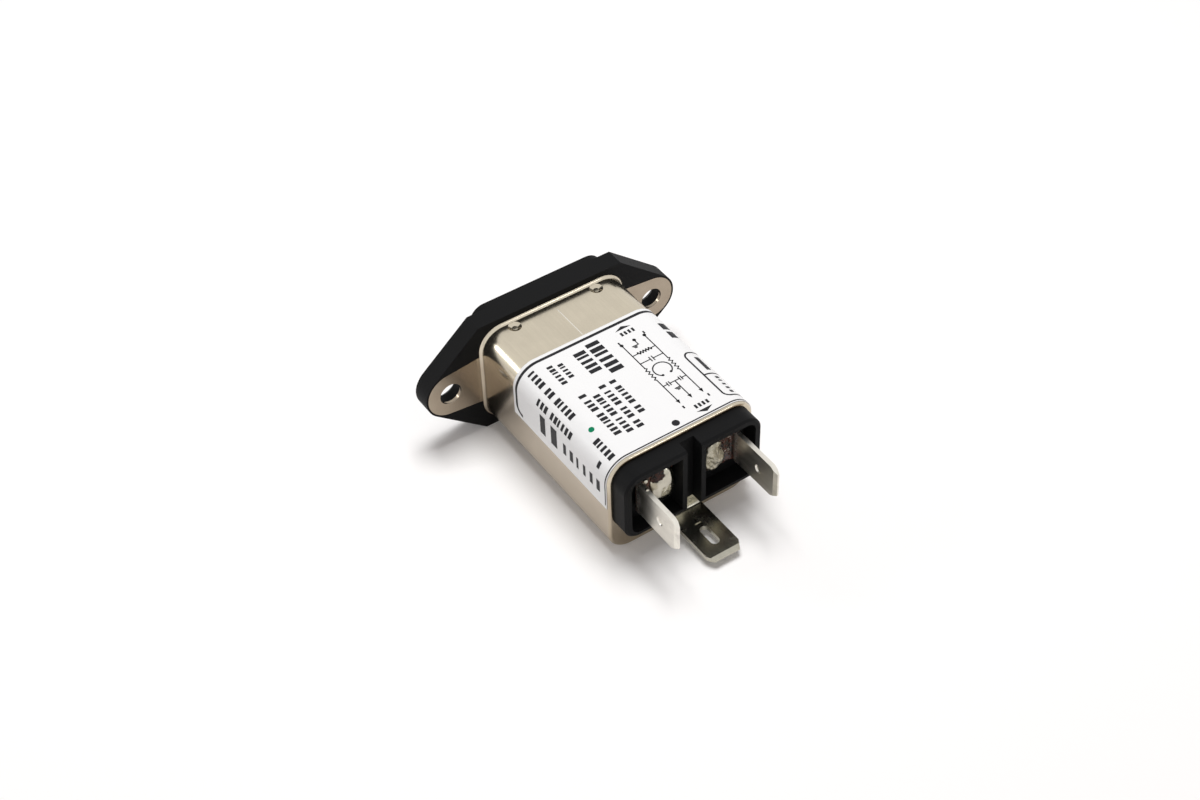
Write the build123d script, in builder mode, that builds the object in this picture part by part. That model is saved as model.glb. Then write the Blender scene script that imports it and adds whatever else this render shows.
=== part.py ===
from build123d import *
import os

# A mains inlet with a built-in interference filter, for mounting in a panel cut-out.
# Lengths are in millimetres. X runs across the flange, +Y points out of the mains inlet
# and +Z points up through the labelled face. The origin lies midway between the two screw
# holes, on the rear face of the metal ears, which meets the panel.

# Drawn steel can
can_width = 27.4
can_height = 19.2
can_corner_r = 4.0
can_length = 36.6
sheet = 0.6
rear_edge_r = 0.5
lip = 0.45
root_bevel = 0.25
dimple_spacing = 15.9
dimple_from_panel = 1.5
dimple_r = 1.15
dimple_floor_r = 0.5
dimple_depth = 0.35

# Screw ears
hole_spacing = 40.0
screw_hole_r = 2.0
ear_end_r = 4.25
ear_root_height = 9.9

# Moulded inlet: flange and bezel
flange_end_r = 4.6
flange_height = 22.3
flange_straight = 27.8
flange_thickness = 3.9
flange_edge = 0.45
bezel_wall = 0.7
bezel_corner_r = 3.0
bezel_rise = 1.15
bezel_edge = 0.35
screw_head_r = 3.5
screw_head_angle = 90.0

# Moulded inlet: recess for the mains connector
inlet_width = 24.4
inlet_height = 16.4
inlet_depth = 18.0
inlet_corner_r = 2.2
inlet_bevel = 4.0
inlet_bevel_r = 0.8
inlet_mouth_chamfer = 0.2
inlet_floor = 2.6

# Contact pins
pin_spacing = 14.0
pin_rise = 2.0
earth_pin_drop = 2.0
pin_thickness = 2.0
pin_height = 4.0
pin_tip_chamfer = 0.6
line_pin_reach = 14.0
earth_pin_reach = 16.0
pin_tail = 3.05
collar_thickness = 0.8
collar_margin = 0.5

# Rear insulator
rear_rim = 0.75
bare_wall_height = 5.25
boss_foot_r = 2.6
boss_reach = 3.4
boss_edge = 0.35
boss_wall = 1.2
boss_sill = 0.9
chamber_depth = 3.1
chamber_corner_r = 1.6
groove_width = 2.7
groove_depth = 2.3
rib_thickness = 0.85
seat_plate = 1.8
seat_edge = 0.3

# Rear terminals, 6.3 x 0.8 blades
tab_width = 6.3
tab_thickness = 0.8
tab_bend_r = 0.5
blade_inset = 2.4
blade_rise = 2.5
blade_reach = 12.3
tip_corner = 0.8
tip_corner_run = 1.5
tip_bevel = 0.25
tip_bevel_run = 0.8
detent_r = 0.8
detent_depth = 0.22
detent_from_tip = 4.5
foot_gap = 0.4
post_share = 0.38
solder_share = 0.7
solder_length = 6.0
solder_height = 1.2
solder_corner_share = 0.38
solder_slope = 1.1
solder_slope_run = 0.95

# Ground terminal
ground_inset = 2.4
ground_foot_gap = 0.4
slot_length = 4.2
slot_width = 1.6
slot_from_tip = 4.8
mark_from_tip = 7.8
mark_length = 1.2
mark_width = 0.3
mark_depth = 0.15

# Label
label_thickness = 0.12
label_front = 9.8
label_side_edge = 0.3

# Common-mode choke
core_r = 6.5
core_bore_r = 3.5
core_thickness = 5.0
wire_d = 1.1
turns = 6
turn_angle = 24.0
turn_corner = 0.5
spacer_thickness = 1.0
choke_gap = 0.3

# Wiring between the pins, the choke and the rear terminals
strap_thickness = 0.5
strap_width = 4.0
strap_foot = 2.2

# Capacitors and bleed resistor
x_cap_width = 13.0
x_cap_depth = 4.8
x_cap_lead_length = 1.05
x_cap_edge = 0.5
y_cap_r = 3.4
y_cap_thickness = 2.8
y_cap_side_gap = 2.1
y_cap_level = 5.2
resistor_r = 1.15
resistor_length = 6.2
fine_wire_r = 0.3

# Insulating liner
liner_thickness = 0.25

# Clearances
fit_gap = 0.1
neck_gap = 0.05
slip_gap = 0.05

# Places that several pieces share, along Y
inlet_face_y = flange_thickness + bezel_rise
inlet_floor_y = inlet_face_y - inlet_depth
inlet_back_y = inlet_floor_y - inlet_floor
pin_end_y = inlet_back_y - pin_tail
can_rear_y = -can_length
can_inner_rear_y = sheet - can_length
seat_front_y = can_inner_rear_y + seat_plate
boss_face_y = can_rear_y - boss_reach
chamber_floor_y = boss_face_y + chamber_depth
foot_rear_y = chamber_floor_y - tab_thickness
blade_tip_y = can_rear_y - blade_reach
wound_thickness = core_thickness + 2 * (wire_d + slip_gap)
choke_rear_y = seat_front_y + choke_gap
choke_y = choke_rear_y + wound_thickness / 2
choke_front_y = choke_rear_y + wound_thickness

# Shared sections of the can and of what slides into it
bezel_width = inlet_width + 2 * bezel_wall
can_bore_width = can_width - 2 * sheet
can_bore_height = can_height - 2 * sheet
can_bore_r = can_corner_r - sheet
boss_width = can_width - 2 * rear_rim
boss_top = can_height / 2 - rear_rim
boss_height = boss_top + can_height / 2 - bare_wall_height
boss_corner_r = can_corner_r - rear_rim
earth_pin_rise = -earth_pin_drop
ground_level = can_height / 2 - ground_inset
lead_spacing = pin_spacing - pin_thickness - 2 * slip_gap - wire_d
y_cap_spacing = can_bore_width - 2 * (y_cap_side_gap + y_cap_r)
tiny = 0.01


def across(y):
    """Plane across the body at y: sketch axes are X and Z, and it extrudes to the rear."""
    return Plane.XZ.offset(-y)


def facing_front(y):
    """Plane across the body at y that faces out of the inlet."""
    return Plane(origin=(0, y, 0), x_dir=(-1, 0, 0), z_dir=(0, 1, 0))


def eared_outline(body_width, body_height, end_r, grow=0.0):
    """Rectangle that tapers to a rounded end about each screw hole."""
    with BuildSketch() as outline:
        Rectangle(body_width + 2 * grow, body_height + 2 * grow)
        with GridLocations(hole_spacing, 1, 2, 1):
            Circle(end_r + grow)
        make_hull()
    return outline.sketch


def bore_outline(gap):
    """Section that slides into the can with a gap all round."""
    with BuildSketch() as outline:
        RectangleRounded(can_bore_width - 2 * gap, can_bore_height - 2 * gap, can_bore_r - gap)
    return outline.sketch


def boss_outline(grow=0.0):
    """Section of the insulator where it stands out through the can's rear wall."""
    with BuildSketch() as outline:
        with Locations((0, boss_top + grow)):
            Rectangle(
                boss_width + 2 * grow,
                boss_height + 2 * grow,
                align=(Align.CENTER, Align.MAX),
            )
        fillet(outline.vertices().group_by(Axis.Y)[-1], boss_corner_r + grow)
        fillet(outline.vertices().group_by(Axis.Y)[0], boss_foot_r + grow)
    return outline.sketch


def inlet_outline():
    """Section of the inlet's recess, bevelled on the earth side so that it fits one way."""
    with BuildSketch() as outline:
        Rectangle(inlet_width, inlet_height)
        fillet(outline.vertices().group_by(Axis.Y)[-1], inlet_corner_r)
        chamfer(outline.vertices().group_by(Axis.Y)[0], inlet_bevel)
        bevel_ends = outline.vertices().filter_by(
            lambda v: v.Y < -inlet_height / 2 + inlet_bevel + tiny
        )
        fillet(bevel_ends, inlet_bevel_r)
    return outline.sketch


# Can: one drawn sheet with a closed rear, a lip at the front and two screw ears
with BuildPart() as can:
    with BuildSketch(across(sheet)):
        add(eared_outline(can_width, ear_root_height, ear_end_r))
        RectangleRounded(can_width + 2 * lip, can_height + 2 * lip, can_corner_r + lip)
    extrude(amount=sheet)
    with BuildSketch(across(0)):
        RectangleRounded(can_width, can_height, can_corner_r)
    extrude(amount=can_length)
    root_edges = can.edges(Select.LAST).filter_by_position(Axis.Y, -tiny, tiny)
    chamfer(root_edges, root_bevel)
    fillet(can.faces().sort_by(Axis.Y)[0].edges(), rear_edge_r)

    with BuildSketch(across(sheet)):
        add(bore_outline(0))
    extrude(amount=can_length, mode=Mode.SUBTRACT)

    with BuildSketch(across(can_inner_rear_y)):
        add(boss_outline(neck_gap))
    extrude(amount=sheet, mode=Mode.SUBTRACT)

    with GridLocations(hole_spacing, 1, 2, 1):
        Cylinder(screw_hole_r, 4 * sheet, rotation=(90, 0, 0), mode=Mode.SUBTRACT)

    # Two dimples are pressed in over the inlet's sleeve
    with Locations((0, -dimple_from_panel, can_height / 2)):
        with GridLocations(dimple_spacing, 1, 2, 1):
            Cone(
                dimple_floor_r,
                dimple_r,
                dimple_depth,
                align=(Align.CENTER, Align.CENTER, Align.MAX),
                mode=Mode.SUBTRACT,
            )


# Inlet housing: flange, bezel, sleeve round the recess and the floor that holds the pins
with BuildPart() as inlet_housing:
    with BuildSketch(across(flange_thickness)):
        add(eared_outline(flange_straight, flange_height, flange_end_r))
    extrude(amount=flange_thickness)
    chamfer(inlet_housing.faces().sort_by(Axis.Y)[-1].edges(), flange_edge)

    with BuildSketch(across(inlet_face_y)):
        RectangleRounded(bezel_width, flange_height, bezel_corner_r)
    extrude(amount=bezel_rise + flange_edge)
    chamfer(inlet_housing.faces().sort_by(Axis.Y)[-1].edges(), bezel_edge)

    # Seat for the can's ears and lip, flush with the flange's rear face
    with BuildSketch(across(sheet + slip_gap)):
        add(eared_outline(can_width, ear_root_height, ear_end_r, fit_gap))
        seat_lip = lip + fit_gap
        RectangleRounded(
            can_width + 2 * seat_lip, can_height + 2 * seat_lip, can_corner_r + seat_lip
        )
    extrude(amount=sheet + slip_gap, mode=Mode.SUBTRACT)

    with BuildSketch(across(sheet + slip_gap)):
        add(bore_outline(fit_gap))
    extrude(amount=sheet + slip_gap - inlet_back_y)

    with BuildSketch(across(inlet_face_y)):
        add(inlet_outline())
    extrude(amount=inlet_depth, mode=Mode.SUBTRACT)
    mouth = inlet_housing.edges(Select.LAST).filter_by_position(
        Axis.Y, inlet_face_y - tiny, inlet_face_y + tiny
    )
    chamfer(mouth, inlet_mouth_chamfer)

    with BuildSketch(across(inlet_floor_y + tiny)):
        with Locations((-pin_spacing / 2, pin_rise), (pin_spacing / 2, pin_rise), (0, earth_pin_rise)):
            Rectangle(pin_thickness + 2 * slip_gap, pin_height + 2 * slip_gap)
    extrude(amount=inlet_floor + 2 * tiny, mode=Mode.SUBTRACT)

    with Locations(facing_front(flange_thickness)):
        with GridLocations(hole_spacing, 1, 2, 1):
            CounterSinkHole(
                screw_hole_r, screw_head_r, depth=flange_thickness, counter_sink_angle=screw_head_angle
            )


def contact_pin(x, z, reach):
    """Flat pin with a bevelled tip, held behind the inlet floor by a collar."""
    with BuildPart() as pin:
        with BuildSketch(across(inlet_floor_y + reach)):
            with Locations((x, z)):
                Rectangle(pin_thickness, pin_height)
        extrude(amount=inlet_floor_y + reach - pin_end_y)
        chamfer(pin.faces().sort_by(Axis.Y)[-1].edges(), pin_tip_chamfer)
        with BuildSketch(across(inlet_back_y)):
            with Locations((x, z)):
                Rectangle(pin_thickness + 2 * collar_margin, pin_height + 2 * collar_margin)
        extrude(amount=collar_thickness)
    return pin


line_pin = contact_pin(-pin_spacing / 2, pin_rise, line_pin_reach)
neutral_pin = contact_pin(pin_spacing / 2, pin_rise, line_pin_reach)
earth_pin = contact_pin(0, earth_pin_rise, earth_pin_reach)


# Rear insulator: seat plate inside the can, and a boss with two terminal chambers
chamber_inner_x = groove_width / 2 + rib_thickness
chamber_outer_x = boss_width / 2 - boss_wall
chamber_top = boss_top - boss_wall
chamber_bottom = boss_top - boss_height + boss_sill

# The terminals' feet lie on the chambers' floors, and the posts come up through them
blade_spacing = 2 * (chamber_outer_x - blade_inset)
foot_end_x = chamber_inner_x + foot_gap
foot_length = (blade_spacing - tab_thickness) / 2 - foot_end_x
post_spacing = 2 * (foot_end_x + post_share * foot_length)
solder_width = solder_share * foot_length
solder_corner_r = solder_corner_share * solder_width

with BuildPart() as rear_insulator:
    with BuildSketch(across(seat_front_y)):
        add(bore_outline(fit_gap))
    extrude(amount=seat_plate)
    chamfer(rear_insulator.faces().sort_by(Axis.Y)[0].edges(), seat_edge)
    with BuildSketch(across(can_inner_rear_y)):
        add(boss_outline())
    extrude(amount=can_inner_rear_y - boss_face_y)
    chamfer(rear_insulator.faces().sort_by(Axis.Y)[0].edges(), boss_edge)

    for side in (-1, 1):
        with BuildSketch(across(boss_face_y)) as chamber:
            with Locations((side * (chamber_inner_x + chamber_outer_x) / 2, chamber_top)):
                Rectangle(
                    chamber_outer_x - chamber_inner_x,
                    chamber_top - chamber_bottom,
                    align=(Align.CENTER, Align.MAX),
                )
            outer_corners = chamber.vertices().sort_by(Axis.X)[::side][-2:]
            fillet(outer_corners, chamber_corner_r)
        extrude(amount=-chamber_depth, mode=Mode.SUBTRACT)

    with BuildSketch(across(boss_face_y)):
        Rectangle(groove_width, 2 * can_height)
    extrude(amount=-groove_depth, mode=Mode.SUBTRACT)

    with BuildSketch(across(seat_front_y)):
        with Locations((-post_spacing / 2, pin_rise), (post_spacing / 2, pin_rise)):
            Circle(wire_d / 2 + slip_gap)
    extrude(amount=seat_front_y - chamber_floor_y, mode=Mode.SUBTRACT)


def tab_tip(tab, width_axis):
    """Bevel the tip of a blade: its two corners, then its two long end edges."""
    across_thickness = Axis.X if width_axis == Axis.Z else Axis.Z
    end = tab.faces().sort_by(Axis.Y)[0]
    chamfer(end.edges().filter_by(across_thickness), tip_corner, tip_corner_run, reference=end)
    end = tab.faces().sort_by(Axis.Y)[0]
    chamfer(end.edges().filter_by(width_axis), tip_bevel, tip_bevel_run, reference=end)


def rear_terminal(side):
    """Bent strip: a foot soldered to the post, and a blade for a push-on connector."""
    blade_x = side * blade_spacing / 2
    foot_y = chamber_floor_y - tab_thickness / 2
    with BuildPart() as terminal:
        with BuildSketch(Plane.XY.offset(blade_rise - tab_width / 2)):
            with BuildLine():
                FilletPolyline(
                    (side * foot_end_x, foot_y),
                    (blade_x, foot_y),
                    (blade_x, blade_tip_y),
                    radius=tab_bend_r + tab_thickness / 2,
                )
            trace(line_width=tab_thickness)
        extrude(amount=tab_width)
        tab_tip(terminal, Axis.Z)
        with Locations((side * post_spacing / 2, foot_y, pin_rise)):
            Cylinder(
                wire_d / 2 + slip_gap, 2 * tab_thickness, rotation=(90, 0, 0), mode=Mode.SUBTRACT
            )
        for face in (-1, 1):
            face_x = blade_x + face * tab_thickness / 2
            detent_plane = Plane(
                origin=(face_x, blade_tip_y + detent_from_tip, blade_rise), z_dir=(-face, 0, 0)
            )
            with BuildSketch(detent_plane):
                Circle(detent_r)
            extrude(amount=detent_depth, taper=45, mode=Mode.SUBTRACT)
    return terminal


line_terminal = rear_terminal(-1)
neutral_terminal = rear_terminal(1)


# Ground terminal: its foot is welded to the can's rear wall, below the insulator
ground_foot_top = boss_top - boss_height - ground_foot_gap
with BuildPart() as ground_terminal:
    with BuildSketch(Plane.YZ):
        with BuildLine():
            FilletPolyline(
                (can_rear_y - tab_thickness / 2, ground_foot_top),
                (can_rear_y - tab_thickness / 2, -ground_level - tab_thickness / 2),
                (blade_tip_y, -ground_level - tab_thickness / 2),
                radius=tab_bend_r + tab_thickness / 2,
            )
        trace(line_width=tab_thickness)
    extrude(amount=tab_width / 2, both=True)
    tab_tip(ground_terminal, Axis.X)
    with BuildSketch(Plane.XY.offset(-ground_level)):
        with Locations((0, blade_tip_y + slot_from_tip)):
            SlotOverall(slot_length, slot_width, rotation=90)
    extrude(amount=-tab_thickness, mode=Mode.SUBTRACT)
    with BuildSketch(Plane.XY.offset(-ground_level)):
        with Locations((0, blade_tip_y + mark_from_tip)):
            Rectangle(mark_length, mark_width)
    extrude(amount=-mark_depth, mode=Mode.SUBTRACT)


def solder_mound(side):
    """Mound of solder over the post's end and the inner part of the terminal's foot."""
    with BuildPart() as mound:
        with BuildSketch(across(foot_rear_y)):
            with Locations((side * post_spacing / 2, pin_rise)):
                RectangleRounded(solder_width, solder_length, solder_corner_r)
        extrude(amount=solder_height)
        crown = mound.faces().sort_by(Axis.Y)[0]
        chamfer(crown.edges(), solder_slope_run, solder_slope, reference=crown)
    return mound


line_solder = solder_mound(-1)
neutral_solder = solder_mound(1)


# Label: wrapped over the top of the can and part of the way down both sides
with BuildPart() as label:
    with BuildSketch(across(-label_front)):
        RectangleRounded(
            can_width + 2 * label_thickness,
            can_height + 2 * label_thickness,
            can_corner_r + label_thickness,
        )
        RectangleRounded(can_width, can_height, can_corner_r, mode=Mode.SUBTRACT)
        with Locations((0, label_side_edge)):
            Rectangle(2 * can_width, can_height, align=(Align.CENTER, Align.MAX), mode=Mode.SUBTRACT)
    extrude(amount=can_length - rear_edge_r - label_front)


# Choke core: a flat ring in line with the body
with BuildPart() as choke_core:
    with BuildSketch(across(choke_y + core_thickness / 2)):
        Circle(core_r)
        Circle(core_bore_r, mode=Mode.SUBTRACT)
    extrude(amount=core_thickness)


def winding(side):
    """Turns of one winding, on one half of the core."""
    core_wall = core_r - core_bore_r + 2 * slip_gap
    core_side = core_thickness + 2 * slip_gap
    middle = 180 if side < 0 else 0
    with BuildPart() as coil:
        for turn in range(turns):
            angle = middle + (turn - (turns - 1) / 2) * turn_angle
            radial = Vector(1, 0, 0).rotate(Axis.Y, -angle)
            turn_plane = Plane(
                origin=(0, choke_y, 0), x_dir=radial, z_dir=radial.cross(Vector(0, 1, 0))
            )
            with BuildSketch(turn_plane) as turn_outline:
                with Locations(((core_r + core_bore_r) / 2, 0)):
                    Rectangle(core_wall + 2 * wire_d, core_side + 2 * wire_d)
                    chamfer(turn_outline.vertices(), turn_corner)
                    Rectangle(core_wall, core_side, mode=Mode.SUBTRACT)
            extrude(amount=wire_d / 2, both=True)
    return coil


line_winding = winding(-1)
neutral_winding = winding(1)


# Spacer: insulating strip across the core's bore, between the windings
with BuildPart() as winding_spacer:
    with BuildSketch(across(choke_front_y)):
        Rectangle(spacer_thickness, 2 * (core_bore_r - fit_gap))
    extrude(amount=wound_thickness)


def straight_wire(x, from_y, to_y):
    """Round wire along the body, at the height of the line and neutral pins."""
    with BuildPart() as wire:
        with BuildSketch(across(from_y)):
            with Locations((x, pin_rise)):
                Circle(wire_d / 2)
        extrude(amount=from_y - to_y)
    return wire


# Leads run beside the pin tails to the choke, and posts run on from it to the terminals
lead_front_y = inlet_back_y - collar_thickness - choke_gap
lead_rear_y = choke_front_y + slip_gap
post_front_y = choke_rear_y - slip_gap
post_rear_y = foot_rear_y
line_lead = straight_wire(-lead_spacing / 2, lead_front_y, lead_rear_y)
neutral_lead = straight_wire(lead_spacing / 2, lead_front_y, lead_rear_y)
line_post = straight_wire(-post_spacing / 2, post_front_y, post_rear_y)
neutral_post = straight_wire(post_spacing / 2, post_front_y, post_rear_y)


# Earth strap: from the end of the earth pin down to the floor of the can
strap_y = pin_end_y - strap_thickness / 2
strap_floor_z = -can_bore_height / 2 + strap_thickness / 2
with BuildPart() as earth_strap:
    with BuildSketch(Plane.YZ):
        with BuildLine():
            FilletPolyline(
                (strap_y, earth_pin_rise + pin_height / 4),
                (strap_y, strap_floor_z),
                (strap_y + strap_foot, strap_floor_z),
                radius=strap_thickness,
            )
        trace(line_width=strap_thickness)
    extrude(amount=strap_width / 2, both=True)


# Line-to-neutral capacitor: a box behind the pins, with its leads up to the wiring
liner_inside_z = can_bore_height / 2 - slip_gap - liner_thickness
x_cap_y = choke_front_y + choke_gap + x_cap_depth / 2
x_cap_bottom_z = -liner_inside_z + slip_gap
x_cap_lead_z = pin_rise - wire_d / 2 - slip_gap
x_cap_height = x_cap_lead_z - x_cap_lead_length - x_cap_bottom_z
with BuildPart() as x_capacitor:
    with Locations((0, x_cap_y, x_cap_bottom_z)):
        Box(x_cap_width, x_cap_depth, x_cap_height, align=(Align.CENTER, Align.CENTER, Align.MIN))
    chamfer(x_capacitor.edges().filter_by(Axis.Z), x_cap_edge)
    with BuildSketch(Plane.XY.offset(x_cap_bottom_z + x_cap_height)):
        with Locations((0, x_cap_y)):
            with GridLocations(lead_spacing, 1, 2, 1):
                Circle(fine_wire_r)
    extrude(amount=x_cap_lead_length)


def y_capacitor(side):
    """Disc capacitor beside one lead: a wire in and down to the lead, and one out to the can."""
    centre_y = pin_end_y - y_cap_r - choke_gap
    lead_top_z = pin_rise + wire_d / 2 + slip_gap
    wall_x = can_bore_width / 2 - slip_gap
    centre_x = side * y_cap_spacing / 2
    earth_wire_y = centre_y + 0.8 * y_cap_r
    earth_wire_plane = Plane(origin=(centre_x, earth_wire_y, y_cap_level), z_dir=(side, 0, 0))
    lead_wire_plane = Plane(origin=(centre_x, centre_y, y_cap_level), z_dir=(-side, 0, 0))
    with BuildPart() as capacitor:
        with BuildSketch(Plane.XY.offset(y_cap_level - y_cap_thickness / 2)):
            with Locations((centre_x, centre_y)):
                Circle(y_cap_r)
        extrude(amount=y_cap_thickness)
        with BuildSketch(Plane.XY.offset(lead_top_z)):
            with Locations((side * lead_spacing / 2, centre_y)):
                Circle(fine_wire_r)
        extrude(amount=y_cap_level - lead_top_z)
        with BuildSketch(lead_wire_plane):
            Circle(fine_wire_r)
        extrude(amount=(y_cap_spacing - lead_spacing) / 2)
        with BuildSketch(earth_wire_plane):
            Circle(fine_wire_r)
        extrude(amount=wall_x - y_cap_spacing / 2)
    return capacitor


line_y_capacitor = y_capacitor(-1)
neutral_y_capacitor = y_capacitor(1)


# Bleed resistor: between the two leads, above the box capacitor
resistor_y = pin_end_y - y_cap_r - choke_gap
resistor_reach = lead_spacing / 2 - wire_d / 2 - slip_gap
with BuildPart() as bleed_resistor:
    with BuildSketch(Plane.YZ):
        with Locations((resistor_y, pin_rise)):
            Circle(resistor_r)
    extrude(amount=resistor_length / 2, both=True)
    with BuildSketch(Plane.YZ):
        with Locations((resistor_y, pin_rise)):
            Circle(fine_wire_r)
    extrude(amount=resistor_reach, both=True)


# Liner: insulating wrap inside the can, round the choke and the capacitors
liner_front_y = resistor_y + y_cap_r - 4 * choke_gap
with BuildPart() as can_liner:
    with BuildSketch(across(liner_front_y)):
        add(bore_outline(slip_gap))
        add(bore_outline(slip_gap + liner_thickness), mode=Mode.SUBTRACT)
    extrude(amount=liner_front_y - seat_front_y - slip_gap)


pieces = {
    "can": can,
    "inlet_housing": inlet_housing,
    "line_pin": line_pin,
    "neutral_pin": neutral_pin,
    "earth_pin": earth_pin,
    "rear_insulator": rear_insulator,
    "line_terminal": line_terminal,
    "neutral_terminal": neutral_terminal,
    "ground_terminal": ground_terminal,
    "line_solder": line_solder,
    "neutral_solder": neutral_solder,
    "label": label,
    "can_liner": can_liner,
    "choke_core": choke_core,
    "line_winding": line_winding,
    "neutral_winding": neutral_winding,
    "winding_spacer": winding_spacer,
    "line_lead": line_lead,
    "neutral_lead": neutral_lead,
    "line_post": line_post,
    "neutral_post": neutral_post,
    "earth_strap": earth_strap,
    "x_capacitor": x_capacitor,
    "line_y_capacitor": line_y_capacitor,
    "neutral_y_capacitor": neutral_y_capacitor,
    "bleed_resistor": bleed_resistor,
}

os.makedirs("parts", exist_ok=True)
for piece_name, piece in pieces.items():
    piece.part.label = piece_name
    export_step(piece.part, f"parts/{piece_name}.step")
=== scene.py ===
import math

import bmesh
import bpy
from mathutils import Matrix, Vector, noise


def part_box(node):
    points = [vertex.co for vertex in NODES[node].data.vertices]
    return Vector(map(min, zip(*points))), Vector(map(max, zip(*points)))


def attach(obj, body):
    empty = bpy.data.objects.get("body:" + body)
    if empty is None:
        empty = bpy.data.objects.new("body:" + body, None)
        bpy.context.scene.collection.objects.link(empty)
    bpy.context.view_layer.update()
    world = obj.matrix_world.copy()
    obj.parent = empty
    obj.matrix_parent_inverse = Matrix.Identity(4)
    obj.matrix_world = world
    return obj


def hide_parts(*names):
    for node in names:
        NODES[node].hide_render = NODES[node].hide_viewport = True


bl_info = {
    "name": "Mains Line Filter Looks",
    "version": (1, 0, 0),
    "blender": (4, 5, 0),
    "location": "3D View > Sidebar > Line Filter",
    "description": "Finishes, printed label, solder and studio for a panel-mounted mains line filter",
    "category": "Object",
}

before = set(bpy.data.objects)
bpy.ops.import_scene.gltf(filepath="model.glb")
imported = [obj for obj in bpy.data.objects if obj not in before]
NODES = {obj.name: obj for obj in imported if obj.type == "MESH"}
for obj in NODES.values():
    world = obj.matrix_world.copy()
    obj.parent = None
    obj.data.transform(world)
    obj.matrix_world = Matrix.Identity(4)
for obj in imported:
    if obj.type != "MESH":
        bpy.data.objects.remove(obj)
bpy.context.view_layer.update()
MM = 0.001

# Camera, as fitted to the photograph
IMAGE_WIDTH_PX = 1200
IMAGE_HEIGHT_PX = 800
ORIGIN_X_PX = 553.33
ORIGIN_Y_PX = 345.14
FOCAL_PX = 2032.8
SENSOR_MM = 36.0

# Can and label: corners of their boxes in metres, and their sizes in millimetres. On the
# unrolled label, s runs across it from its middle line, and y along the body.
LABEL_LOW, LABEL_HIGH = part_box("label")
CAN_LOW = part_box("can")[0]
LABEL_HALF_WIDTH = LABEL_HIGH.x / MM
LABEL_TOP = LABEL_HIGH.z / MM
LABEL_FRONT = LABEL_HIGH.y / MM
LABEL_REAR = LABEL_LOW.y / MM
LABEL_CORNER_R = 4.12
LABEL_THICKNESS = 0.12
CAN_HALF_WIDTH = LABEL_HALF_WIDTH - LABEL_THICKNESS
CAN_TOP = LABEL_TOP - LABEL_THICKNESS
CAN_CORNER_R = LABEL_CORNER_R - LABEL_THICKNESS
LABEL_FLAT = LABEL_HALF_WIDTH - LABEL_CORNER_R
LABEL_ARC = LABEL_CORNER_R * math.pi / 2
LABEL_REACH = LABEL_FLAT + LABEL_ARC + LABEL_TOP - LABEL_CORNER_R - LABEL_LOW.z / MM
INK_LIFT = 0.015
SIDE_FRAME_LINE = 0.3
LIP_ROOT_R = 0.45

# Colours of metal that is worn or stained, a painted shade for the nickel, and metals that are not
# the tin of the settings
BARE_SCRATCH = (0.95, 0.93, 0.88)
# Painted shade: a darker, browner nickel that stands for the shadowed floor mirrored low on the can's
# sides and on its ears
PAINTED_SHADE_NICKEL = (0.34, 0.28, 0.215)
RIM_BRONZE = (0.42, 0.34, 0.22)
SEAM_BROWN = (0.2, 0.13, 0.07)
GROUND_TIN = (0.45, 0.43, 0.36)
SMOOTH_SOLDER = (0.52, 0.49, 0.41)
ROUGH_SOLDER = (0.42, 0.39, 0.31)

# Point that the lamps face, in the middle of the body
LAMP_AIM = Vector((0.0, -0.02, 0.0))


# Settings that a user would change


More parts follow.
